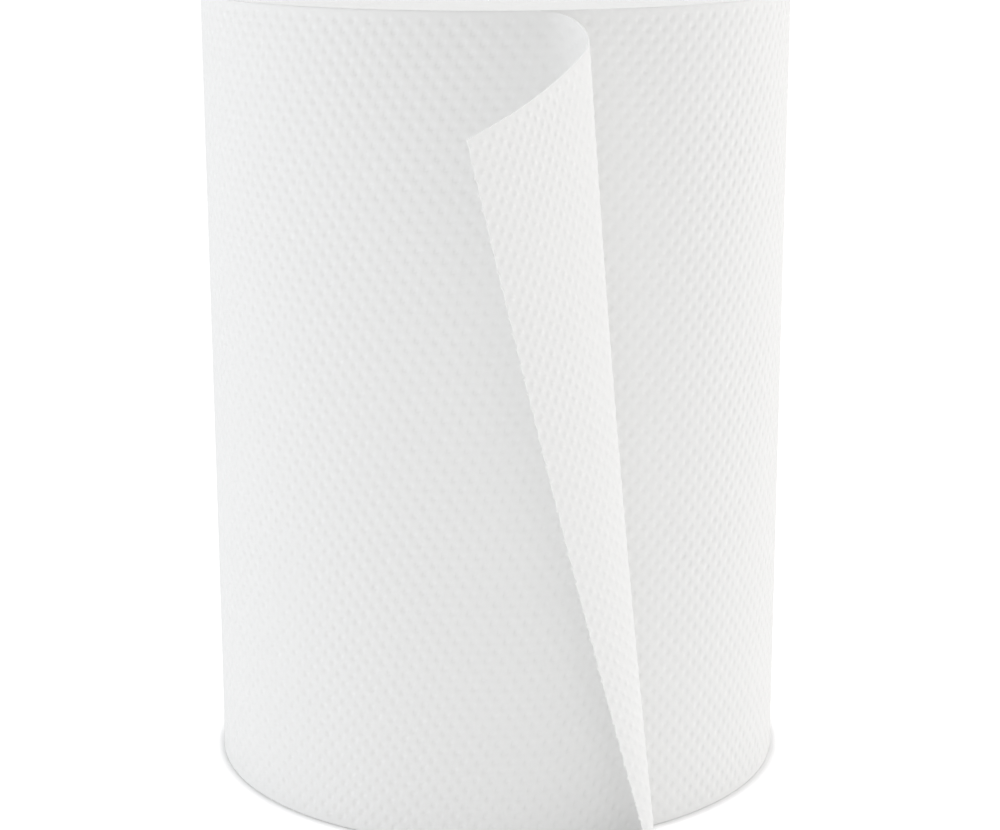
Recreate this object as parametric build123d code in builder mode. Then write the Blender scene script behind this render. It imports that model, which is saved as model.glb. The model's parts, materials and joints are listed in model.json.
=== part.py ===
from build123d import *
import math
import os

# A roll of embossed paper towel on a cardboard core, standing on its end.
# The axis of the roll is Z, its lower end is on z = 0, and the loose tail is in front, towards -Y.
# Angles round the roll are measured from the front, towards +X.

# Wound roll
roll_diameter = 148.0
roll_width = 200.0
sheet_thickness = 0.3

# Cardboard core, with the hole that a towel spindle goes through
core_bore = 44.45
core_wall = 1.6
winding_clearance = 0.05

# Turns on the two ends: one spiral seam that leads out to the tail
seam_turns = 4
seam_width = 0.5
seam_depth = 0.5
seam_start_margin = 4.0
seam_stop_angle = 5.0

# Where the tail leaves the roll, round from the front, at three levels
lift_angle_top = 8.0
lift_angle_middle = 14.9
lift_angle_bottom = 23.8

# The tail curls forward and back to the left in three bends, each a cone that narrows downwards
# Radii are those of the sheet's outer side, headings are those of the sheet as it leaves each bend
leave_radius_top = 6.1
leave_radius_bottom = 5.5
leave_heading = -50.5
fold_radius_top = 17.0
fold_radius_bottom = 6.8
fold_heading = -115.0
flap_radius_top = 155.0
flap_radius_bottom = 6.0
flap_heading = -133.7

# The sheet's upper edge falls as the tail swings out from the roll
edge_fall_forward = 0.37

# Free edge, cut by a serrated knife
tooth_pitch = 4.28
tooth_width = 0.9
tooth_height = 0.5
knife_allowance = 1.6

# How the tail is laid out, rooted in the roll and cut
tail_root_depth = 0.15
tail_levels = 5
tail_overheight = 10.0
knife_reach = 8.0
knife_half_depth = 4.0

roll_radius = roll_diameter / 2
tail_root_radius = roll_radius - tail_root_depth
core_radius = core_bore / 2 + core_wall
winding_radius = core_radius + winding_clearance


def blend(top_value, bottom_value, level):
    """A size at a level, when it grows evenly from the roll's lower end to its upper end."""
    return bottom_value + (top_value - bottom_value) * level / roll_width


def lift_angle(level):
    """The angle from the front at which the tail leaves the roll at a level."""
    height = level / roll_width
    low = lift_angle_bottom * (1 - height) * (1 - 2 * height)
    middle = lift_angle_middle * 4 * height * (1 - height)
    high = lift_angle_top * height * (2 * height - 1)
    return low + middle + high


def tail_bends(level):
    """The three bends at a level, each as the radius of the sheet's outer side and the turn in degrees."""
    flap_radius = blend(flap_radius_top, flap_radius_bottom, level)
    allowance = math.degrees(knife_allowance / flap_radius)
    return [
        (blend(leave_radius_top, leave_radius_bottom, level), lift_angle(level) - leave_heading),
        (blend(fold_radius_top, fold_radius_bottom, level), leave_heading - fold_heading),
        (flap_radius, fold_heading - flap_heading + allowance),
    ]


def tail_face(level, start_radius, extra_radius):
    """One face of the sheet at a level: three arcs in a row that start on the roll."""
    angle = math.radians(lift_angle(level))
    point = Vector(start_radius * math.sin(angle), -start_radius * math.cos(angle))
    heading = Vector(math.cos(angle), math.sin(angle))
    arcs = []
    for radius, turn in tail_bends(level):
        arc = JernArc(point, heading, radius + extra_radius, -turn)
        arcs.append(arc)
        point = arc @ 1
        heading = arc % 1
    return arcs


def flap_point(level):
    """Where the free edge of the sheet crosses a level, on its outer side."""
    angle = math.radians(lift_angle(level))
    x = tail_root_radius * math.sin(angle)
    y = -tail_root_radius * math.cos(angle)
    heading = angle
    ends = (leave_heading, fold_heading, flap_heading)
    for (radius, turn), end in zip(tail_bends(level), ends):
        x += radius * (math.sin(heading) - math.sin(math.radians(end)))
        y -= radius * (math.cos(heading) - math.cos(math.radians(end)))
        heading = math.radians(end)
    return Vector(x, y, level)


# Core: a straight cardboard tube
with BuildPart() as core_tube:
    with BuildSketch():
        Circle(core_radius)
        Circle(core_bore / 2, mode=Mode.SUBTRACT)
    extrude(amount=roll_width)

core_tube.part.label = "core_tube"

# Tail: the plane of the sheet's upper edge, level with the roll where the sheet lies farthest back
top_angle = math.radians(lift_angle_top)
root_radius = tail_root_radius - sheet_thickness
bend_depth = (leave_radius_top + sheet_thickness) * (1 - math.cos(top_angle))
upper_edge = Plane(
    origin=(0, bend_depth - root_radius * math.cos(top_angle), roll_width),
    z_dir=(0, -edge_fall_forward, 1),
)

# Tail: the serrated knife that cuts the free edge, along the line between the edge's two ends
edge_foot = flap_point(0)
edge_head = flap_point(roll_width)
edge_way = (edge_head - edge_foot).normalized()
flap_way = Vector(math.cos(math.radians(flap_heading)), math.sin(math.radians(flap_heading)))
knife_plane = Plane(
    origin=(edge_foot + edge_head) / 2,
    x_dir=edge_way,
    z_dir=edge_way.cross(flap_way),
)
tooth_count = int(roll_width / tooth_pitch) + 1

with BuildPart() as knife:
    with BuildSketch(knife_plane):
        with Locations((0, knife_reach / 2)):
            Rectangle(roll_width + 2 * tail_overheight, knife_reach)
        with GridLocations(tooth_pitch, 1, tooth_count, 1):
            Polygon(
                (-tooth_width / 2, 0),
                (tooth_width / 2, 0),
                (0, tooth_height),
                align=None,
                mode=Mode.SUBTRACT,
            )
    extrude(amount=knife_half_depth, both=True)

# Tail: a thin sheet lofted through its bends at even levels, then trimmed
with BuildPart() as tail:
    for step in range(tail_levels):
        tail_level = step * (roll_width + tail_overheight) / (tail_levels - 1)
        with BuildSketch(Plane.XY.offset(tail_level)):
            with BuildLine():
                outer_arcs = tail_face(tail_level, tail_root_radius, 0)
                inner_arcs = tail_face(tail_level, root_radius, sheet_thickness)
                Line(outer_arcs[0] @ 0, inner_arcs[0] @ 0)
                Line(outer_arcs[-1] @ 1, inner_arcs[-1] @ 1)
            make_face()
    loft()
    split(bisect_by=upper_edge, keep=Keep.BOTTOM)
    add(knife.part, mode=Mode.SUBTRACT)

# Roll: the wound web, one solid from the core's outside to the outermost turn
seam_start = winding_radius + seam_start_margin
seam_end = roll_radius - sheet_thickness - seam_width
seam_pitch = (seam_end - seam_start) / seam_turns
seam_heading = lift_angle_top - seam_stop_angle - 90

with BuildSketch(mode=Mode.PRIVATE) as seam:
    with BuildLine():
        for turn in range(seam_turns):
            for radius in (seam_start + turn * seam_pitch, seam_start + turn * seam_pitch + seam_width):
                CenterArc((0, 0), radius, 0, 180)
                CenterArc((seam_pitch / 2, 0), radius + seam_pitch / 2, 180, 180)
        Line((seam_start, 0), (seam_start + seam_width, 0))
        Line((seam_end, 0), (seam_end + seam_width, 0))
    make_face()

with BuildPart() as paper_roll:
    with BuildSketch():
        Circle(roll_radius)
        Circle(winding_radius, mode=Mode.SUBTRACT)
    extrude(amount=roll_width)
    for end_level in (0, roll_width - seam_depth):
        with BuildSketch(Plane.XY.offset(end_level).rotated((0, 0, seam_heading))):
            add(seam.sketch)
        extrude(amount=seam_depth, mode=Mode.SUBTRACT)
    add(tail.part)

paper_roll.part.label = "paper_roll"

os.makedirs("parts", exist_ok=True)
export_step(core_tube.part, "parts/core_tube.step")
export_step(paper_roll.part, "parts/paper_roll.step")
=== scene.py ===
"""A roll of embossed paper towel with its loose tail, wound on a board core."""

import json
import math

import bmesh
import bpy
import numpy as np
from bpy.props import FloatProperty, FloatVectorProperty, IntProperty, PointerProperty
from mathutils import Matrix, Vector


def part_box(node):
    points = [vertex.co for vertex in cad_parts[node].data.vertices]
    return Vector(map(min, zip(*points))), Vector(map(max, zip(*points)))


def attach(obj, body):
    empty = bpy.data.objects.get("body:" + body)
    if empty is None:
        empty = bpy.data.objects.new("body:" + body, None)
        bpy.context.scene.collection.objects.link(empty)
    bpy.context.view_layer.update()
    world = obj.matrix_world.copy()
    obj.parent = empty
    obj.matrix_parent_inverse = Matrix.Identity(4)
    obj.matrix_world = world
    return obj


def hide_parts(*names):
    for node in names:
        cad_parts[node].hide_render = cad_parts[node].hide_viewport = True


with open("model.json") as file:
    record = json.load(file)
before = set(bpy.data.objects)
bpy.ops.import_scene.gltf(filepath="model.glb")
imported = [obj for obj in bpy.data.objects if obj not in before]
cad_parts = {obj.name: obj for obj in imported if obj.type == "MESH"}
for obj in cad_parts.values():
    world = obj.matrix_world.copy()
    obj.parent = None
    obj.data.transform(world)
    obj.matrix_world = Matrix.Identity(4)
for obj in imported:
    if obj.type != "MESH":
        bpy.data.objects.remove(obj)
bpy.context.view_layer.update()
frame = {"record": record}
ROLL_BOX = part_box("paper_roll")
CORE_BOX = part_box("core_tube")
CORE_BORE = next(m for m in frame["record"]["mounts"] if m["name"] == "core_bore")

bl_info = {
    "name": "Paper Towel Roll",
    "version": (1, 0, 0),
    "blender": (4, 5, 0),
    "location": "View3D > Sidebar > Towel Roll",
    "description": "Embossed paper towel wound on a board core, with a loose tail",
    "category": "Mesh",
}

# Steps of the sheet's grid in one repeat of the embossing, and on each piece of the sheet
STEPS_ALONG = 6
STEPS_UP = 8
ROWS = 340
HEM_ROWS = 2
TAIL_COLUMNS = 126
TURN_COLUMNS = 208
TURN_NAMES = ("towel_turn_left", "towel_turn_back", "towel_turn_right")

# What the sheet's pieces carry for their finish: a flat map, and two values of each point
SHEET_MAP = "Sheet"
LOOSE = "loose"
OUTER_FACE = "outer_face"

# How far the rows of dimples lean at the free edge, and where along the web each lean gives way
EDGE_LEAN = 0.194
LEAN_IN_FRONT = (0.03, 0.11)
LEAN_AT_RIGHT = (0.11, 0.53)
LEAN_PASSES = 4
LEVEL_PASSES = 3

# How far dimples stray from their places, in repeats, and how their depth varies
STRAY = 0.02
DEPTH_MIDDLE, DEPTH_SPREAD = 0.92, 0.16
DRIFT_WAVES = ((0.31, 0.17), (0.13, -0.29), (-0.23, 0.11), (0.07, 0.19))
STRAY_ALONG_SEED, STRAY_UP_SEED, WAVE_SEED, DEPTH_SEED = 2.0, 5.0, 4.0, 9.0

# Dimples flatten where the sheet bends: by what share, and over what length at each side
BEND_FLATTENING = 0.3
BEND_START, BEND_END = 0.006, 0.012

# Rows over which the dimples grow from a cut rim, and lengths over which the sheet changes
RIM_ROWS = (-1.0, 4.0)
LOOSE_LENGTH = 0.008
WAVE_LENGTH = 0.02
WAVE_COLUMNS, WAVE_ROWS = 14, 9

# Teeth of the free edge, whose slope makes them closer in height than along the edge
TOOTH_SEED = 11
EDGE_SLOPE = 0.955
FIRST_TOOTH = 0.45
TOOTH_LENGTHS = (0.7, 1.15)

# Ends of the winding: each wave of the turns' height as its pace, its share of it and its start,
# the share of the way out past which the turns end level, and where the waist starts
END_WAVES = ((0.9, 0.30, 0.4), (2.3, 0.25, 1.9), (0.37, 0.20, 4.1), (0.083, 0.25, 2.2))
LEVEL_FROM = 0.985
WINDING_RIM, WAIST_START = 0.001, 0.0024
SHARP_EDGE = math.radians(50)

# Core tube: levels up its walls, faces round it, and how sharp an edge its rims are
CORE_LEVELS = 41
CORE_STEPS = 160
CORE_RIM_ANGLE = 1.0

# Shares and heights of the finishes; the dimple's share is painted shade in its hollow
FINISH_WIDTH, FINISH_HEIGHT = 0.85, 0.9
DIMPLE_PAINTED_SHADE = 0.42
MOTTLE_SHADE = 0.2
TURN_SHADE = 0.35
TURN_BUMP, TURN_GRAIN = 0.00004, 0.0001
JOINT_SHADE = 0.55
BOARD_BUMP, JOINT_DEPTH = 0.00015, 0.0001

# Camera at the photograph's viewing angle: metres, millimetres, and degrees down and round
CAMERA_PLACE = (0.00077, -0.6068, 0.24316)
CAMERA_SENSOR, CAMERA_LENS = 36.0, 85.61
CAMERA_TILT, CAMERA_ROLL = 14.277, -0.130

# Lamps, about one point: degrees round from the front, degrees up and distance, and the tint
LAMP_TARGET = Vector((0, 0, 0.1))
LEFT_LAMP = ((-90, 5, 1.0), (0.93, 0.955, 1.0))
RIGHT_LAMP = ((108, 8, 1.0), (1.0, 0.975, 0.962))
FRONT_LAMP = ((0, 15, 1.2), (1.0, 1.0, 1.0))
TOP_LAMP = ((0, 90, 2.0), (0.98, 0.99, 1.0))
FLOOR_HALF = 6.0


def length(name, description, default):
    """A size in metres, as a property."""
    return FloatProperty(
        name=name,
        description=description,
        default=default,
        min=0.0,
        unit="LENGTH",
        subtype="DISTANCE",
        precision=5,
    )


def angle(name, description, degrees):
    """An angle, as a property that is shown in degrees."""
    return FloatProperty(
        name=name,
        description=description,
        default=math.radians(degrees),
        unit="ROTATION",
        subtype="ANGLE",
        precision=4,
    )


def share(name, description, default, high=1.0):
    """A plain number from nought up, as a property."""
    return FloatProperty(
        name=name, description=description, default=default, min=0.0, max=high, precision=4
    )


def colour(name, description, default):
    """A colour, as a property."""
    return FloatVectorProperty(
        name=name,
        description=description,
        default=default,
        size=3,
        min=0.0,
        max=1.0,
        subtype="COLOR",
    )


class TowelWebSettings(bpy.types.PropertyGroup):
    """The sheet, its embossing and its turns on the roll."""

    roll_radius: length("Roll Radius", "Outside of the outermost turn", ROLL_BOX[1].x)
    roll_width: length("Roll Width", "Width of the web", ROLL_BOX[1].z)
    sheet_thickness: length("Sheet Thickness", "Thickness of the embossed sheet", 0.0003)
    turn_gap: length("Turn Gap", "Air between the two outermost turns", 0.00005)
    hem_depth: length("Rim Depth", "How far a cut rim is carried down inside the roll", 0.0012)
    pitch_along: length("Pitch Along", "Repeat of the embossing along the sheet", 0.00424)
    head_gap: length("Head Gap", "How far the outer turn ends below the roll's end", 0.00025)
    foot_gap: length("Foot Gap", "How far the outer turn ends above the floor", 0.0003)
    dimple_depth: length("Dimple Depth", "Depth of an embossed dimple", 0.00025)
    dimple_width: length("Dimple Width", "Half width of a dimple, along the sheet", 0.0005)
    dimple_height: length("Dimple Height", "Half height of a dimple, up the sheet", 0.00066)
    dimple_bump: length("Dimple Finish", "Depth that the finish adds to a dimple", 0.001)
    relief: share("Relief", "How much more than its depth a dimple turns the light", 2.0, 5.0)
    grain_bump: length("Grain", "Height of the fibres in the finish", 0.00011)
    see_through: share("See Through", "Share of light that the loose sheet lets through", 0.2)
    lean_front: share("Lean In Front", "How far the rows of dimples lean over in front", 0.104)
    lean_right: share("Lean At Right", "How far they lean over under the tail", 0.023)
    waviness: length("Waviness", "Height of the soft waves in the outermost turn", 0.00012)
    paper_colour: colour("Paper", "Colour of the paper", (0.86, 0.857, 0.84))
    # Painted shade in the bottom of a dimple, partly the darker tone of the pressed fibres; the
    # random mottle darkens towards the same colour
    dimple_shade_and_mottle_colour: colour("Dimple", "Colour in the bottom of a dimple", (0.77, 0.77, 0.755))
    # The loose sheet is the same paper, painted a touch darker and warmer than on the roll to set
    # how bright it looks: painted shade
    loose_paper_shade_colour: colour("Loose Paper", "Colour of the loose sheet", (0.85, 0.845, 0.828))


class TowelTailSettings(bpy.types.PropertyGroup):
    """Where the loose tail leaves the roll, and the three bends that it takes."""

    lift_top: angle("Lift At Top", "Where the tail leaves the roll at the upper end", 8.0)
    lift_middle: angle("Lift At Middle", "Where it leaves the roll half way up", 14.9)
    lift_bottom: angle("Lift At Bottom", "Where it leaves the roll at the lower end", 23.8)
    leave_top: length("First Bend, Top", "Radius of the first bend, upper end", 0.0061)
    leave_bottom: length("First Bend, Bottom", "Radius of the first bend, lower end", 0.0055)
    leave_heading: angle("First Bend Heading", "Heading of the sheet after it", -50.5)
    fold_top: length("Fold, Top", "Radius of the fold, upper end", 0.017)
    fold_bottom: length("Fold, Bottom", "Radius of the fold, lower end", 0.0068)
    fold_heading: angle("Fold Heading", "Heading of the sheet after the fold", -115.0)
    flap_top: length("Flap, Top", "Radius of the flap, upper end", 0.155)
    flap_bottom: length("Flap, Bottom", "Radius of the flap, lower end", 0.006)
    flap_heading: angle("Flap Heading", "Heading of the sheet at its free edge", -133.7)
    edge_fall: share("Edge Fall", "Fall of the upper edge for each length forward", 0.37)
    tooth_pitch: length("Tooth Pitch", "Repeat of the teeth on the free edge", 0.00428)
    tooth_height: length("Tooth Height", "How far a tooth stands out", 0.0005)


class TowelWindingSettings(bpy.types.PropertyGroup):
    """The wound turns as they show on the two ends."""

    inner_radius: length("Inner Radius", "Where the winding starts", CORE_BOX[1].x + 0.00005)
    slack: length("Slack", "Air between the winding and the outer turn", 0.00004)
    waist: length("Waist", "How far the winding is set back behind the dimples", 0.0005)
    turn_pitch: length("Turn Pitch", "Distance from one turn to the next", 0.00036)
    end_relief: length("End Relief", "How unevenly the turns end", 0.0003)
    rings: IntProperty(name="Rings", description="Rings of faces on an end", default=118, min=8)
    steps: IntProperty(name="Steps", description="Faces round the roll", default=256, min=32)
    # The roll's ends are painted lighter than the sheet's paper, as painted light; the gaps
    # between turns are painted darker than the turns' edges, as painted shade
    painted_lit_turn_colour: colour("Turn", "Colour of the cut edge of a turn", (0.95, 0.95, 0.94))
    gap_shade_and_drift_colour: colour("Gap", "Colour of the gaps between turns", (0.88, 0.88, 0.87))


class TowelCoreSettings(bpy.types.PropertyGroup):
    """The board tube in the middle of the roll."""

    bore_radius: length("Bore Radius", "Radius of the hole", CORE_BORE["dims"]["r_mm"] / 1000)
    outer_radius: length("Outer Radius", "Outside of the tube", CORE_BOX[1].x)
    tube_length: length("Length", "Length of the tube", CORE_BOX[1].z)
    rim_round: length("Rim Round", "Rounding of the cut rims", 0.0003)
    ply_width: length("Ply Width", "Distance between the helical joints", 0.062)
    board_colour: colour("Board", "Colour of the board", (0.50, 0.375, 0.25))
    fibre_colour: colour("Fibre", "Colour of its pale fibres", (0.62, 0.50, 0.36))


class TowelStageSettings(bpy.types.PropertyGroup):
    """Camera, floor and light."""

    sky: share("Sky", "Strength of the light from all round", 0.60, 4.0)
    left_light: share("Left Light", "Watts of the large lamp at the left", 3.3, 100.0)
    right_light: share("Right Light", "Watts of the large lamp at the right", 3.9, 100.0)
    front_light: share("Front Light", "Watts of the large lamp in front", 1.0, 100.0)
    lamp_size: length("Lamp Size", "Height and width of those lamps", 0.8)
    top_light: share("Top Light", "Watts of the small lamp overhead", 10.4, 100.0)
    top_size: length("Top Size", "Length and width of the lamp overhead", 0.3)
    floor_glow: share("Floor Glow", "What the camera sees added to the floor", 0.5, 2.0)
    # Inside the glow's start the floor gets no glow, which paints a contact shadow round the
    # roll's foot
    glow_start: length("Glow Start", "Where the floor's glow starts, from the roll's axis", 0.0745)
    glow_full: length("Glow Full", "Where the floor's glow is full", 0.0775)
    floor_colour: colour("Floor", "Colour of the floor", (0.97, 0.97, 0.97))


# The sheet as a curve in plan, measured along its outer face from where it leaves the roll


def blend(top, bottom, height):
    """A size at a share of the height, when it grows evenly."""
    return bottom + (top - bottom) * height


def smooth(low, high, value):
    """Rises from 0 at low to 1 at high, softly."""
    part = np.clip((value - low) / (high - low), 0.0, 1.0)
    return part * part * (3.0 - 2.0 * part)


def lift_angle(height, tail):
    """The angle from the front at which the tail leaves the roll."""
    low = tail.lift_bottom * (1 - height) * (1 - 2 * height)
    middle = tail.lift_middle * 4 * height * (1 - height)
    return low + middle + tail.lift_top * height * (2 * height - 1)


def tail_bends(height, tail):
    """The three bends of the tail, each as its radius and its length."""
    leave = blend(tail.leave_top, tail.leave_bottom, height)
    fold = blend(tail.fold_top, tail.fold_bottom, height)
    flap = blend(tail.flap_top, tail.flap_bottom, height)
    return (
        (leave, leave * (lift_angle(height, tail) - tail.leave_heading)),
        (fold, fold * (tail.leave_heading - tail.fold_heading)),
        (flap, flap * (tail.fold_heading - tail.flap_heading)),
    )


def sheet_plan(from_edge, height, web, tail):
    """Plan position and heading of the outer face, at a distance from the free edge."""
    bends = tail_bends(height, tail)
    travel = sum(bend[1] for bend in bends) - from_edge
    back = np.minimum(travel, 0.0)
    heading = lift_angle(height, tail) + back / web.roll_radius
    turns = back / (2 * math.pi * web.roll_radius)
    radius = web.roll_radius + (web.sheet_thickness + web.turn_gap) * turns
    x, y = radius * np.sin(heading), -radius * np.cos(heading)
    done = 0.0
    for bend_radius, bend_length in bends:
        after = heading - np.clip(travel - done, 0.0, bend_length) / bend_radius
        x = x + bend_radius * (np.sin(heading) - np.sin(after))
        y = y - bend_radius * (np.cos(heading) - np.cos(after))
        heading = after
        done = done + bend_length
    beyond = np.maximum(-from_edge, 0.0)
    return x + beyond * np.cos(heading), y + beyond * np.sin(heading), heading, travel


def upper_edge_origin(web, tail):
    """How far forward the sheet's upper edge is level with the roll."""
    top = tail.lift_top
    rise = (tail.leave_top + web.sheet_thickness) * (1 - math.cos(top))
    return rise - (web.roll_radius - web.sheet_thickness) * math.cos(top)


def lattice_to_sheet(columns, height, web):
    """Distance from the free edge of a point that is so many columns of the lattice in."""
    along = columns * web.pitch_along / STEPS_ALONG
    distance = along
    for _ in range(LEAN_PASSES):
        lean = (web.lean_front - EDGE_LEAN) * smooth(*LEAN_IN_FRONT, distance)
        lean = lean + (web.lean_right - web.lean_front) * smooth(*LEAN_AT_RIGHT, distance)
        distance = along - lean * (height - 0.5) * web.roll_width
    return distance


def drift(columns, rows, seed):
    """A soft wandering value from -1 to 1 over the sheet, the same in every run."""
    total = 0.0
    for number, (wide, tall) in enumerate(DRIFT_WAVES):
        total = total + np.sin(columns * wide / 3 + rows * tall / 4 + seed * (number + 1.7))
    return total / len(DRIFT_WAVES)


def nearest(value):
    """How far a value is from the nearest whole number."""
    return value - np.round(value)


def dimples(columns, rows, web):
    """The staggered rows of oval dimples: 1 in the middle of each, 0 between."""
    across = columns / STEPS_ALONG + STRAY * drift(columns, rows, STRAY_ALONG_SEED)
    up = rows / STEPS_UP + STRAY * drift(columns, rows, STRAY_UP_SEED)
    pitch_up = web.roll_width / ROWS * STEPS_UP
    wide, tall = web.pitch_along / web.dimple_width, pitch_up / web.dimple_height
    total = 0.0
    for shift in (0.0, 0.5):
        far = (nearest(across - shift) * wide) ** 2 + (nearest(up - shift) * tall) ** 2
        total = total + np.exp(-0.5 * far)
    return total


def sheet_place(columns, rows, layer, lip, web, tail, relief=1.0):
    """Where a point of the flat sheet comes to lie, as an array of x, y and z."""
    inside = np.clip(rows, 0, ROWS)
    height = inside / ROWS
    from_edge = lattice_to_sheet(columns, height, web) - lip
    level = height
    origin = upper_edge_origin(web, tail)
    for _ in range(LEVEL_PASSES):
        x, y, heading, travel = sheet_plan(from_edge, level, web, tail)
        top = 1 + tail.edge_fall * (y - origin) / web.roll_width
        level = height * np.where(travel > 0, np.minimum(top, 1.0), 1.0)
    bends = tail_bends(level, tail)
    past_fold = travel - bends[0][1] - bends[1][1]
    bent = smooth(0.0, BEND_START, travel) * (1 - smooth(0.0, BEND_END, past_fold))
    uneven = DEPTH_MIDDLE + DEPTH_SPREAD * drift(columns, rows, DEPTH_SEED)
    press = web.dimple_depth * relief * (1 - BEND_FLATTENING * bent) * uneven
    ends = smooth(*RIM_ROWS, inside) * smooth(*RIM_ROWS, ROWS - inside)
    wave = web.waviness * drift(columns / WAVE_COLUMNS, rows / WAVE_ROWS, WAVE_SEED)
    wave = wave * smooth(0.0, WAVE_LENGTH, -travel)
    out = wave - press * ends * dimples(columns, rows, web) - layer * web.sheet_thickness
    out_x, out_y = np.sin(heading), -np.cos(heading)
    rise = web.foot_gap + level * (web.roll_width - web.foot_gap - web.head_gap)
    return np.stack([x + out * out_x, y + out * out_y, rise], -1)


def sheet_normal(columns, rows, layer, web, tail):
    """The outward normal of the pressed sheet at a point, from points a part of a step away."""
    step = 0.2
    more = (layer, 0.0, web, tail, web.relief)
    along = sheet_place(columns - step, rows, *more) - sheet_place(columns + step, rows, *more)
    low = np.clip(rows - step, 0, ROWS - step)
    upward = sheet_place(columns, low + 2 * step, *more) - sheet_place(columns, low, *more)
    normal = np.cross(along, upward)
    return normal / np.linalg.norm(normal, axis=1)[:, None]


def tooth_rows(tail, web):
    """For each row of the free edge, how far its point stands out and how far it is shifted."""
    draw = np.random.default_rng(TOOTH_SEED)
    lip, shift = np.zeros(ROWS + 1), np.zeros(ROWS + 1)
    spacing = tail.tooth_pitch / web.roll_width * ROWS * EDGE_SLOPE
    for tooth in range(int(ROWS / spacing)):
        centre = (tooth + FIRST_TOOTH) * spacing
        row = int(round(centre))
        lip[row] = tail.tooth_height * draw.uniform(*TOOTH_LENGTHS)
        shift[row] = centre - row
    return lip, shift


def flat_sheet(columns, hem_rows, thick):
    """A flat grid with one face for each step of the lattice, as a bmesh."""
    bm = bmesh.new()
    rows = ROWS + 2 * hem_rows
    bmesh.ops.create_grid(bm, x_segments=columns, y_segments=rows, size=0.5)
    place = Matrix.Translation((-columns / 2, rows / 2 - hem_rows, 0))
    place = place @ Matrix.Diagonal((columns, rows, 1, 1))
    bmesh.ops.transform(bm, matrix=place, verts=bm.verts)
    if thick:
        bmesh.ops.solidify(bm, geom=bm.faces[:], thickness=1.0)
        bmesh.ops.recalc_face_normals(bm, faces=bm.faces)
        drop = max(v.co.z for v in bm.verts)
        bmesh.ops.translate(bm, vec=(0, 0, -drop), verts=bm.verts)
    return bm


def mesh_values(mesh, group, name, width, kind=np.float32):
    """One value of every vertex, loop or face of a mesh, as an array."""
    items = getattr(mesh, group)
    values = np.zeros(len(items) * width, kind)
    items.foreach_get(name, values)
    return values.reshape(-1, width) if width > 1 else values


def add_values(mesh, name, values):
    """Gives every vertex of a mesh one value, under a name that the finish can read."""
    made = mesh.attributes.new(name, "FLOAT", "POINT")
    made.data.foreach_set("value", values.astype(np.float32))


def add_piece(name, bm, material):
    """Turns a bmesh into a finished object that rides on the part's one body."""
    mesh = bpy.data.meshes.new(name)
    bm.to_mesh(mesh)
    bm.free()
    mesh.materials.append(material)
    mesh.polygons.foreach_set("use_smooth", [True] * len(mesh.polygons))
    piece = bpy.data.objects.new(name, mesh)
    bpy.context.scene.collection.objects.link(piece)
    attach(piece, "root")
    return piece


def write_map(mesh, corner, columns, rows, web):
    """Gives the sheet a flat map in metres, along the web and up it."""
    along = columns[corner] * (web.pitch_along / STEPS_ALONG)
    upward = rows[corner] * (web.roll_width / ROWS)
    sheet_map = mesh.uv_layers.new(name=SHEET_MAP)
    sheet_map.uv.foreach_set("vector", np.stack([along, upward], -1).astype(np.float32).ravel())


def write_normals(mesh, corner, rows, layer, normals):
    """Gives both faces of the sheet the normals of the pressed paper, and its rims their own."""
    totals = mesh_values(mesh, "polygons", "loop_total", 1, np.int32)
    face = np.repeat(np.arange(len(totals)), totals)
    middle_row = np.bincount(face, rows[corner]) / totals
    middle_layer = np.bincount(face, layer[corner]) / totals
    on_web = (middle_row > 0) & (middle_row < ROWS)
    corner_normals = mesh_values(mesh, "polygons", "normal", 3)[face]
    for side, there in ((1, middle_layer < 0.25), (-1, middle_layer > 0.75)):
        chosen = (on_web & there)[face]
        corner_normals[chosen] = side * normals[corner][chosen]
    mesh.normals_split_custom_set(corner_normals.tolist())
    mesh.update()


def shape_sheet(piece, first_column, thick, web, tail):
    """Bends and presses a flat piece of the sheet into place, with its map and its normals."""
    mesh = piece.data
    flat = mesh_values(mesh, "vertices", "co", 3).astype(float)
    columns, rows = first_column - flat[:, 0], np.round(flat[:, 1])
    lip = np.zeros(len(flat))
    shifted = rows.copy()
    if first_column == 0:
        edge = np.abs(columns) < 0.5
        teeth, shifts = tooth_rows(tail, web)
        numbers = np.clip(rows[edge], 0, ROWS).astype(int)
        lip[edge] = teeth[numbers]
        shifted[edge] = np.clip(rows[edge] + shifts[numbers], 0, ROWS)
    # A hem's first row turns the cut rim inwards, and its second carries the rim down inside
    hem = np.maximum(-rows, rows - ROWS)
    layer = np.where(hem > 0.5, 1.0, np.round(-flat[:, 2]))
    place = sheet_place(columns, shifted, layer, lip, web, tail)
    normals = sheet_normal(columns, shifted, layer, web, tail)
    deep = np.where(hem > 1.5, web.hem_depth, 0.0)
    place[:, 2] += np.where(rows < 0, deep, -deep)
    mesh.vertices.foreach_set("co", place.astype(np.float32).ravel())
    add_values(mesh, OUTER_FACE, 1.0 - 2.0 * layer)
    if thick:
        from_edge = lattice_to_sheet(columns, rows / ROWS, web)
        travel = sheet_plan(from_edge, rows / ROWS, web, tail)[3]
        add_values(mesh, LOOSE, smooth(0.0, LOOSE_LENGTH, travel))
    corner = mesh_values(mesh, "loops", "vertex_index", 1, np.int32)
    write_map(mesh, corner, columns, rows, web)
    mesh.update()
    write_normals(mesh, corner, rows, -flat[:, 2], normals)


# Finishes


def new_group(name, inputs, outputs):
    """An empty shader node group with named inputs and outputs."""
    tree = bpy.data.node_groups.new(name, "ShaderNodeTree")
    for socket, kind, default in inputs:
        made = tree.interface.new_socket(name=socket, in_out="INPUT", socket_type=kind)
        if default is not None:
            made.default_value = default
    for socket, kind in outputs:
        tree.interface.new_socket(name=socket, in_out="OUTPUT", socket_type=kind)
    return tree, tree.nodes.new("NodeGroupInput"), tree.nodes.new("NodeGroupOutput")


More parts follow.
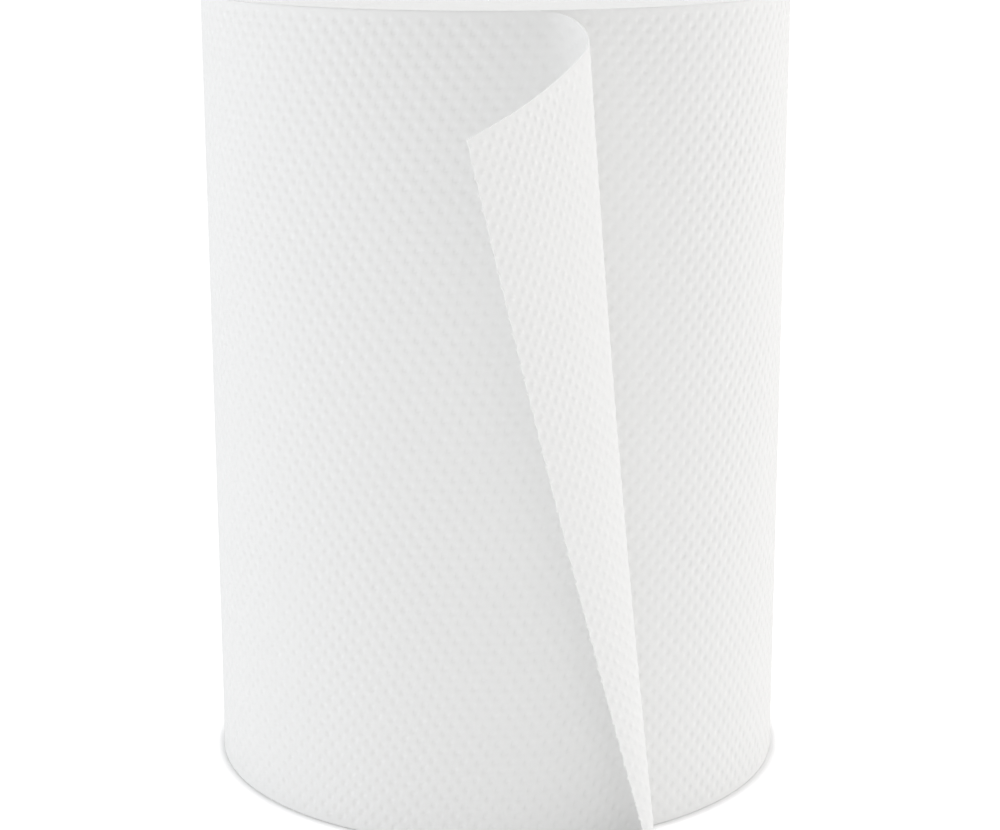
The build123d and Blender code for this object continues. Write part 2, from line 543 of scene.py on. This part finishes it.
class Wiring:
    """Short ways to add and join nodes in one node tree."""

    def __init__(self, tree):
        self.tree = tree

    def node(self, kind, settings=(), **inputs):
        """A node with its settings, and its inputs joined or set by name."""
        made = self.tree.nodes.new(kind)
        for setting, value in dict(settings).items():
            setattr(made, setting, value)
        for name, value in inputs.items():
            self.feed(made.inputs[name.replace("_", " ")], value)
        return made

    def feed(self, socket, value):
        """Joins a socket to another, or sets it to a number."""
        if isinstance(value, bpy.types.NodeSocket):
            self.tree.links.new(value, socket)
        else:
            socket.default_value = value

    def math(self, operation, *values):
        """One Math node."""
        made = self.tree.nodes.new("ShaderNodeMath")
        made.operation = operation
        for socket, value in zip(made.inputs, values):
            self.feed(socket, value)
        return made.outputs[0]

    def mix(self, factor, first, second):
        """One colour mixed into another."""
        made = self.tree.nodes.new("ShaderNodeMix")
        made.data_type = "RGBA"
        self.feed(made.inputs["Factor"], factor)
        self.feed(made.inputs["A"], first)
        self.feed(made.inputs["B"], second)
        return made.outputs["Result"]

    def noise(self, vector, scale, detail=1.0, roughness=0.5, flat=False):
        """A noise pattern from 0 to 1, on a flat map or all through the piece."""
        kind = {"noise_dimensions": "2D" if flat else "3D"}
        sizes = {"Scale": scale, "Detail": detail, "Roughness": roughness}
        return self.node("ShaderNodeTexNoise", kind, Vector=vector, **sizes).outputs["Fac"]

    def stretch(self, vector, scale):
        """A vector scaled by its own amount on each axis."""
        return self.node("ShaderNodeMapping", Vector=vector, Scale=scale).outputs["Vector"]

    def spread(self, value, low, high, start=0.0, end=1.0):
        """A value from low to high spread from start to end, and held beyond them."""
        ends = {"From_Min": low, "From_Max": high, "To_Min": start, "To_Max": end}
        return self.node("ShaderNodeMapRange", Value=value, **ends).outputs[0]

    def raised(self, height):
        """The normal of a surface that is raised by a height in metres."""
        made = self.node("ShaderNodeBump", Height=height, Distance=1.0, Strength=1.0)
        return made.outputs["Normal"]


def dimple_group():
    """Staggered oval dimples over a map in metres: 1 in the middle of each, 0 between."""
    inputs = (
        ("Vector", "NodeSocketVector", None),
        ("Pitch Along", "NodeSocketFloat", 0.00424),
        ("Pitch Up", "NodeSocketFloat", 0.0047),
        ("Width", "NodeSocketFloat", 0.0005),
        ("Height", "NodeSocketFloat", 0.0007),
    )
    tree, given, result = new_group("Dimples", inputs, (("Dimple", "NodeSocketFloat"),))
    wire = Wiring(tree)
    parts = wire.node("ShaderNodeSeparateXYZ", Vector=given.outputs["Vector"])
    total = 0.0
    for shift in (0.0, 0.5):
        far = 0.0
        for part, pitch, half in (("X", "Pitch Along", "Width"), ("Y", "Pitch Up", "Height")):
            cell = wire.math("DIVIDE", parts.outputs[part], given.outputs[pitch])
            cell = wire.math("WRAP", wire.math("SUBTRACT", cell, shift), 0.5, -0.5)
            ratio = wire.math("DIVIDE", given.outputs[pitch], given.outputs[half])
            away = wire.math("MULTIPLY", cell, ratio)
            far = wire.math("MULTIPLY_ADD", away, away, far)
        total = wire.math("ADD", total, wire.math("EXPONENT", wire.math("MULTIPLY", far, -0.5)))
    tree.links.new(total, result.inputs["Dimple"])
    return tree


def fibre_group():
    """Paper fibres: a cloudy mottle for the colour and a fine grain for the height."""
    inputs = (("Vector", "NodeSocketVector", None), ("Scale", "NodeSocketFloat", 1.0))
    outputs = (("Mottle", "NodeSocketFloat"), ("Grain", "NodeSocketFloat"))
    tree, given, result = new_group("Paper Fibres", inputs, outputs)
    wire = Wiring(tree)
    vector = given.outputs["Vector"]
    scale = given.outputs["Scale"]
    mottle = wire.noise(vector, wire.math("MULTIPLY", scale, 420.0), 2.0, 0.6, flat=True)
    grain = wire.noise(vector, wire.math("MULTIPLY", scale, 1300.0), 1.0, 0.6, flat=True)
    tree.links.new(mottle, result.inputs["Mottle"])
    tree.links.new(grain, result.inputs["Grain"])
    return tree


def turns_group():
    """Wound turns round the Z axis: 1 on the cut edge of a turn, 0 in the gap."""
    inputs = (("Vector", "NodeSocketVector", None), ("Turn Pitch", "NodeSocketFloat", 0.00036))
    outputs = (("Edge", "NodeSocketFloat"), ("Drift", "NodeSocketFloat"))
    tree, given, result = new_group("Wound Turns", inputs, outputs)
    wire = Wiring(tree)
    vector = given.outputs["Vector"]
    parts = wire.node("ShaderNodeSeparateXYZ", Vector=vector)
    x, y = parts.outputs["X"], parts.outputs["Y"]
    squares = wire.math("ADD", wire.math("MULTIPLY", x, x), wire.math("MULTIPLY", y, y))
    radius = wire.math("SQRT", squares)
    turned = wire.math("DIVIDE", wire.math("ARCTAN2", y, x), 2 * math.pi)
    wander = wire.math("MULTIPLY", wire.noise(vector, 45.0, 2.0), 3.0)
    count = wire.math("DIVIDE", radius, given.outputs["Turn Pitch"])
    count = wire.math("ADD", wire.math("SUBTRACT", count, turned), wander)
    wave = wire.math("SINE", wire.math("MULTIPLY", count, 2 * math.pi))
    edge = wire.math("ADD", wire.math("MULTIPLY", wave, 0.5), 0.5)
    ring = wire.node("ShaderNodeCombineXYZ", X=count)
    slow = wire.noise(wire.stretch(ring.outputs[0], (0.35, 1.0, 1.0)), 1.0, 3.0, 0.7)
    tree.links.new(edge, result.inputs["Edge"])
    tree.links.new(slow, result.inputs["Drift"])
    return tree


def board_group():
    """Spiral wound board: pale fibres and the helical joint of its plies."""
    inputs = (("Vector", "NodeSocketVector", None), ("Ply Width", "NodeSocketFloat", 0.062))
    outputs = (("Fibre", "NodeSocketFloat"), ("Joint", "NodeSocketFloat"))
    tree, given, result = new_group("Spiral Board", inputs, outputs)
    wire = Wiring(tree)
    vector = given.outputs["Vector"]
    parts = wire.node("ShaderNodeSeparateXYZ", Vector=vector)
    turned = wire.math("ARCTAN2", parts.outputs["Y"], parts.outputs["X"])
    turned = wire.math("DIVIDE", turned, 2 * math.pi)
    climb = wire.math("DIVIDE", parts.outputs["Z"], given.outputs["Ply Width"])
    place = wire.math("WRAP", wire.math("SUBTRACT", climb, turned), 0.5, -0.5)
    joint = wire.spread(wire.math("ABSOLUTE", place), 0.004, 0.010, 1.0, 0.0)
    long_fibres = wire.noise(wire.stretch(vector, (1.0, 1.0, 2.2)), 700.0, 4.0, 0.65)
    flecks = wire.math("MULTIPLY", wire.noise(vector, 2400.0, 2.0, 0.6), 0.3)
    fibre = wire.math("ADD", wire.math("MULTIPLY", long_fibres, 0.7), flecks)
    tree.links.new(fibre, result.inputs["Fibre"])
    tree.links.new(joint, result.inputs["Joint"])
    return tree


def new_material(name):
    """A material with its shader, and the wiring of its nodes."""
    material = bpy.data.materials.new(name)
    material.use_nodes = True
    wire = Wiring(material.node_tree)
    shader = material.node_tree.nodes["Principled BSDF"]
    shader.inputs["Roughness"].default_value = 0.95
    shader.inputs["Specular IOR Level"].default_value = 0.12
    return material, wire, shader


def use_group(wire, name, maker, **inputs):
    """A shared group in a material, with its own values. The first use of a group makes it."""
    tree = bpy.data.node_groups.get(name) or maker()
    return wire.node("ShaderNodeGroup", {"node_tree": tree}, **inputs)


def opaque(rgb):
    """A colour with full alpha."""
    return (*rgb, 1.0)


def towel_paper(web):
    """White embossed tissue, from the sheet's own map."""
    material, wire, shader = new_material("towel_paper")
    spot = wire.node("ShaderNodeUVMap", {"uv_map": SHEET_MAP}).outputs["UV"]
    pressed = use_group(
        wire,
        "Dimples",
        dimple_group,
        Vector=spot,
        Pitch_Along=web.pitch_along,
        Pitch_Up=web.roll_width / ROWS * STEPS_UP,
        Width=web.dimple_width * FINISH_WIDTH,
        Height=web.dimple_height * FINISH_HEIGHT,
    ).outputs["Dimple"]
    side = wire.node("ShaderNodeAttribute", {"attribute_name": OUTER_FACE}).outputs["Fac"]
    pressed = wire.math("MULTIPLY", pressed, side)
    fibres = use_group(wire, "Paper Fibres", fibre_group, Vector=spot, Scale=1.0)
    loose = wire.node("ShaderNodeAttribute", {"attribute_name": LOOSE}).outputs["Fac"]
    # Painted shade: the loose part of the sheet takes the darker, warmer copy of the paper
    sheet = wire.mix(loose, opaque(web.paper_colour), opaque(web.loose_paper_shade_colour))
    # Painted shade: each dimple's hollow is darkened towards the dimple colour, standing in for
    # the shade that falls in it
    painted_dimple_shade = wire.math("MAXIMUM", wire.math("MULTIPLY", pressed, DIMPLE_PAINTED_SHADE), 0.0)
    shade = wire.mix(painted_dimple_shade, sheet, opaque(web.dimple_shade_and_mottle_colour))
    mottle = wire.spread(fibres.outputs["Mottle"], 0.3, 0.7, 0.0, MOTTLE_SHADE)
    tint = wire.mix(mottle, shade, opaque(web.dimple_shade_and_mottle_colour))
    wire.feed(shader.inputs["Base Color"], tint)
    depth = wire.math("MULTIPLY", pressed, -web.dimple_bump)
    grain = wire.math("MULTIPLY", fibres.outputs["Grain"], web.grain_bump)
    normal = wire.raised(wire.math("ADD", depth, grain))
    wire.feed(shader.inputs["Normal"], normal)
    through = wire.node("ShaderNodeBsdfTranslucent", Color=tint, Normal=normal)
    both = wire.node("ShaderNodeMixShader")
    wire.feed(both.inputs[0], wire.math("MULTIPLY", loose, web.see_through))
    wire.feed(both.inputs[1], shader.outputs["BSDF"])
    wire.feed(both.inputs[2], through.outputs["BSDF"])
    wire.feed(material.node_tree.nodes["Material Output"].inputs["Surface"], both.outputs[0])
    return material


def towel_turns(winding):
    """The cut edges of the turns, round the roll's axis."""
    material, wire, shader = new_material("towel_turns")
    spot = wire.node("ShaderNodeTexCoord").outputs["Object"]
    turns = use_group(wire, "Wound Turns", turns_group, Vector=spot, Turn_Pitch=winding.turn_pitch)
    fibres = use_group(wire, "Paper Fibres", fibre_group, Vector=spot, Scale=1.0)
    # Painted light and shade: lighter cut edges and darker gaps between turns; a slow random drift
    # also darkens towards the gap colour
    gap, turn = opaque(winding.gap_shade_and_drift_colour), opaque(winding.painted_lit_turn_colour)
    drifted = wire.math("MULTIPLY", turns.outputs["Drift"], TURN_SHADE)
    shade = wire.mix(drifted, wire.mix(turns.outputs["Edge"], gap, turn), gap)
    wire.feed(shader.inputs["Base Color"], shade)
    depth = wire.math("MULTIPLY", turns.outputs["Edge"], TURN_BUMP)
    grain = wire.math("MULTIPLY", fibres.outputs["Grain"], TURN_GRAIN)
    wire.feed(shader.inputs["Normal"], wire.raised(wire.math("ADD", depth, grain)))
    return material


def core_board(core):
    """Grey-brown kraft board, wound in a helix."""
    material, wire, shader = new_material("core_board")
    shader.inputs["Roughness"].default_value = 0.85
    spot = wire.node("ShaderNodeTexCoord").outputs["Object"]
    board = use_group(wire, "Spiral Board", board_group, Vector=spot, Ply_Width=core.ply_width)
    fibre = wire.spread(board.outputs["Fibre"], 0.35, 0.68)
    shade = wire.mix(fibre, opaque(core.board_colour), opaque(core.fibre_colour))
    dark = tuple(part * JOINT_SHADE for part in core.board_colour)
    shade = wire.mix(board.outputs["Joint"], shade, opaque(dark))
    wire.feed(shader.inputs["Base Color"], shade)
    depth = wire.math("MULTIPLY", board.outputs["Fibre"], BOARD_BUMP)
    joint = wire.math("MULTIPLY", board.outputs["Joint"], JOINT_DEPTH)
    wire.feed(shader.inputs["Normal"], wire.raised(wire.math("SUBTRACT", depth, joint)))
    return material


def paper_material(web):
    """The paper, made the first time that it is asked for."""
    return bpy.data.materials.get("towel_paper") or towel_paper(web)


# Operators


class TOWEL_OT_tail(bpy.types.Operator):
    """Make the loose tail and the start of the outermost turn"""

    bl_idname = "towel.tail"
    bl_label = "Loose Tail"

    def execute(self, context):
        web, tail = context.scene.towel_web, context.scene.towel_tail
        bm = flat_sheet(TAIL_COLUMNS, 0, True)
        piece = add_piece("towel_tail", bm, paper_material(web))
        shape_sheet(piece, 0, True, web, tail)
        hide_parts("paper_roll")
        return {"FINISHED"}


class TOWEL_OT_outer_turn(bpy.types.Operator):
    """Make the outermost turn of the web, in three pieces"""

    bl_idname = "towel.outer_turn"
    bl_label = "Outermost Turn"

    def execute(self, context):
        web, tail = context.scene.towel_web, context.scene.towel_tail
        for number, name in enumerate(TURN_NAMES):
            bm = flat_sheet(TURN_COLUMNS, HEM_ROWS, False)
            piece = add_piece(name, bm, paper_material(web))
            shape_sheet(piece, TAIL_COLUMNS + number * TURN_COLUMNS, False, web, tail)
            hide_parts("paper_roll")
        return {"FINISHED"}


def end_dip(x, y, winding):
    """How far the turns end below the roll's end, at a point of it."""
    radius = np.hypot(x, y)
    count = radius / winding.turn_pitch - np.arctan2(y, x) / (2 * math.pi)
    dip = sum(size * (0.5 + 0.5 * np.sin(count * pace + start)) for pace, size, start in END_WAVES)
    round_roll = 0.5 + 0.5 * np.sin(np.arctan2(y, x) * 2 + radius * 90)
    return winding.end_relief * (0.1 + 0.9 * dip * (0.75 + 0.25 * round_roll))


def ring_body(steps, profile_length, place):
    """A grid rolled into a closed ring: place gives x, y and z from the turn and the profile."""
    bm = bmesh.new()
    bmesh.ops.create_grid(bm, x_segments=steps, y_segments=profile_length, size=0.5)
    flat = np.array([vert.co[:2] for vert in bm.verts]) + 0.5
    turn = np.round(flat[:, 0] * steps).astype(int) % steps * (2 * math.pi / steps)
    spot = np.round(flat[:, 1] * profile_length).astype(int) % profile_length
    for vert, position in zip(bm.verts, place(turn, spot)):
        vert.co = position
    bmesh.ops.remove_doubles(bm, verts=bm.verts, dist=1e-7)
    bmesh.ops.recalc_face_normals(bm, faces=bm.faces)
    return bm


def winding_profile(web, winding):
    """The winding's section: share of the way out, height, and 1 on the two ends."""
    width, rings = web.roll_width, winding.rings
    shares = [ring / rings for ring in range(rings + 1)]
    points = [(0.0, 0.0, 1.0)] + [(share, width, 1.0) for share in shares]
    waist = 1.0 - winding.waist / (web.roll_radius - winding.inner_radius)
    points += [(1.0, width - WINDING_RIM, 0.0), (waist, width - WAIST_START, 0.0)]
    points += [(waist, WAIST_START, 0.0), (1.0, WINDING_RIM, 0.0)]
    return np.array(points + [(share, 0.0, 1.0) for share in reversed(shares[1:])])


class TOWEL_OT_winding(bpy.types.Operator):
    """Make the wound turns inside the outermost one"""

    bl_idname = "towel.winding"
    bl_label = "Wound Turns"

    def execute(self, context):
        scene = context.scene
        web, tail, winding = scene.towel_web, scene.towel_tail, scene.towel_winding
        profile = winding_profile(web, winding)

        def place(turn, spot):
            part, level, end = profile[spot].T
            lift = lift_angle(level / web.roll_width, tail)
            turns = (turn - lift) / (2 * math.pi) % 1.0 - 1.0
            sheet = web.sheet_thickness
            outer = web.roll_radius + (sheet + web.turn_gap) * turns - sheet - winding.slack
            radius = winding.inner_radius + part * (outer - winding.inner_radius)
            x, y = radius * np.sin(turn), -radius * np.cos(turn)
            dip = end_dip(x, y, winding) * end * (1 - smooth(LEVEL_FROM, 1.0, part))
            upper = level > web.roll_width / 2
            return np.stack([x, y, level + np.where(upper, -dip, dip)], -1)

        bm = ring_body(winding.steps, len(profile), place)
        piece = add_piece("towel_winding", bm, towel_turns(winding))
        piece.data.set_sharp_from_angle(angle=SHARP_EDGE)
        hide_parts("paper_roll")
        return {"FINISHED"}


class TOWEL_OT_core(bpy.types.Operator):
    """Make the board tube that the web is wound on"""

    bl_idname = "towel.core"
    bl_label = "Core Tube"

    def execute(self, context):
        core = context.scene.towel_core
        levels = np.linspace(0.0, core.tube_length, CORE_LEVELS)
        profile = [(core.bore_radius, level) for level in levels]
        profile += [(core.outer_radius, level) for level in levels[::-1]]
        profile = np.array(profile)

        def place(turn, spot):
            radius, level = profile[spot].T
            return np.stack([radius * np.sin(turn), -radius * np.cos(turn), level], -1)

        bm = ring_body(CORE_STEPS, len(profile), place)
        rims = [edge for edge in bm.edges if edge.calc_face_angle(0) > CORE_RIM_ANGLE]
        bmesh.ops.bevel(
            bm,
            geom=rims,
            offset=core.rim_round,
            segments=3,
            affect="EDGES",
            profile=0.5,
            material=-1,
        )
        piece = add_piece("core_tube_board", bm, core_board(core))
        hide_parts("core_tube")
        return {"FINISHED"}


class TOWEL_OT_stage(bpy.types.Operator):
    """Make the camera, the floor and the light"""

    bl_idname = "towel.stage"
    bl_label = "Camera, Floor And Light"

    def execute(self, context):
        settings = context.scene.towel_stage
        self.add_camera(context)
        self.add_floor(settings)
        self.add_world(context, settings)
        size = settings.lamp_size
        self.add_lamp(*LEFT_LAMP, size, settings.left_light)
        self.add_lamp(*RIGHT_LAMP, size, settings.right_light)
        self.add_lamp(*FRONT_LAMP, size, settings.front_light)
        self.add_lamp(*TOP_LAMP, settings.top_size, settings.top_light)
        return {"FINISHED"}

    def add_camera(self, context):
        """Camera at the photograph's viewing angle."""
        data = bpy.data.cameras.new("camera")
        data.sensor_width, data.lens = CAMERA_SENSOR, CAMERA_LENS
        camera = bpy.data.objects.new("camera", data)
        tilt = Matrix.Rotation(math.radians(90 - CAMERA_TILT), 4, "X")
        roll = Matrix.Rotation(math.radians(CAMERA_ROLL), 4, "Z")
        camera.matrix_world = Matrix.Translation(CAMERA_PLACE) @ tilt @ roll
        context.scene.collection.objects.link(camera)
        context.scene.camera = camera

    def add_floor(self, settings):
        """A wide floor that looks white and keeps the roll's shadow. Its glow is left out in a
        ring round the roll's foot, a painted contact shadow over the real one.
        """
        bm = bmesh.new()
        bmesh.ops.create_grid(bm, x_segments=2, y_segments=2, size=FLOOR_HALF)
        mesh = bpy.data.meshes.new("floor")
        bm.to_mesh(mesh)
        bm.free()
        floor = bpy.data.objects.new("floor", mesh)
        bpy.context.scene.collection.objects.link(floor)
        material, wire, shader = new_material("floor")
        shader.inputs["Base Color"].default_value = opaque(settings.floor_colour)
        shader.inputs["Specular IOR Level"].default_value = 0.0
        seen = wire.node("ShaderNodeLightPath").outputs["Is Camera Ray"]
        spot = wire.node("ShaderNodeTexCoord").outputs["Object"]
        away = wire.node("ShaderNodeVectorMath", {"operation": "LENGTH"})
        wire.feed(away.inputs[0], spot)
        # Painted contact shadow: no glow near the roll's foot, so a thin ring there reads darker,
        # over the real shadow
        span = (settings.glow_start, settings.glow_full)
        glow = wire.spread(away.outputs["Value"], *span, 0.0, settings.floor_glow)
        shader.inputs["Emission Color"].default_value = (1, 1, 1, 1)
        wire.feed(shader.inputs["Emission Strength"], wire.math("MULTIPLY", seen, glow))
        mesh.materials.append(material)

    def add_world(self, context, settings):
        """Even light from all round, which the camera sees as white."""
        world = bpy.data.worlds.new("studio")
        world.use_nodes = True
        wire = Wiring(world.node_tree)
        seen = wire.node("ShaderNodeLightPath").outputs["Is Camera Ray"]
        strength = wire.math("MULTIPLY_ADD", seen, 1.0 - settings.sky, settings.sky)
        background = world.node_tree.nodes["Background"]
        background.inputs["Color"].default_value = (1, 1, 1, 1)
        wire.feed(background.inputs["Strength"], strength)
        context.scene.world = world
        context.scene.view_settings.view_transform = "Standard"

    def add_lamp(self, place, tint, size, watts):
        """One square lamp that faces the roll: its place, tint, width and watts."""
        turn, height, distance = math.radians(place[0]), math.radians(place[1]), place[2]
        out = math.cos(height)
        way = Vector((math.sin(turn) * out, -math.cos(turn) * out, math.sin(height)))
        data = bpy.data.lights.new("soft_lamp", "AREA")
        data.shape, data.size = "SQUARE", size
        data.energy, data.color = watts, tint
        lamp = bpy.data.objects.new("soft_lamp", data)
        faced = way.to_track_quat("Z", "Y").to_matrix().to_4x4()
        lamp.matrix_world = Matrix.Translation(way * distance + LAMP_TARGET) @ faced
        bpy.context.scene.collection.objects.link(lamp)


class TOWEL_PT_panel(bpy.types.Panel):
    """The roll's pieces and sizes, in the sidebar."""

    bl_idname = "TOWEL_PT_panel"
    bl_label = "Paper Towel Roll"
    bl_space_type = "VIEW_3D"
    bl_region_type = "UI"
    bl_category = "Towel Roll"

    def draw(self, context):
        for operator, settings in STEPS:
            box = self.layout.box()
            box.operator(operator.bl_idname)
            group = getattr(context.scene, settings)
            for name in group.bl_rna.properties.keys():
                if name not in ("rna_type", "name"):
                    box.prop(group, name)


STEPS = (
    (TOWEL_OT_stage, "towel_stage"),
    (TOWEL_OT_tail, "towel_tail"),
    (TOWEL_OT_outer_turn, "towel_web"),
    (TOWEL_OT_winding, "towel_winding"),
    (TOWEL_OT_core, "towel_core"),
)
SETTINGS = {
    "towel_web": TowelWebSettings,
    "towel_tail": TowelTailSettings,
    "towel_winding": TowelWindingSettings,
    "towel_core": TowelCoreSettings,
    "towel_stage": TowelStageSettings,
}
CLASSES = (*SETTINGS.values(), *(step[0] for step in STEPS), TOWEL_PT_panel)


def register():
    """Registers the classes and hangs the settings on the scene."""
    for item in CLASSES:
        bpy.utils.register_class(item)
    for name, group in SETTINGS.items():
        setattr(bpy.types.Scene, name, PointerProperty(type=group))


def unregister():
    """Takes the settings and the classes away again."""
    for name in SETTINGS:
        delattr(bpy.types.Scene, name)
    for item in reversed(CLASSES):
        bpy.utils.unregister_class(item)


def main():
    """Makes the whole scene."""
    register()
    for make in (
        bpy.ops.towel.stage,
        bpy.ops.towel.tail,
        bpy.ops.towel.outer_turn,
        bpy.ops.towel.winding,
        bpy.ops.towel.core,
    ):
        make()


if __name__ == "__main__":
    main()
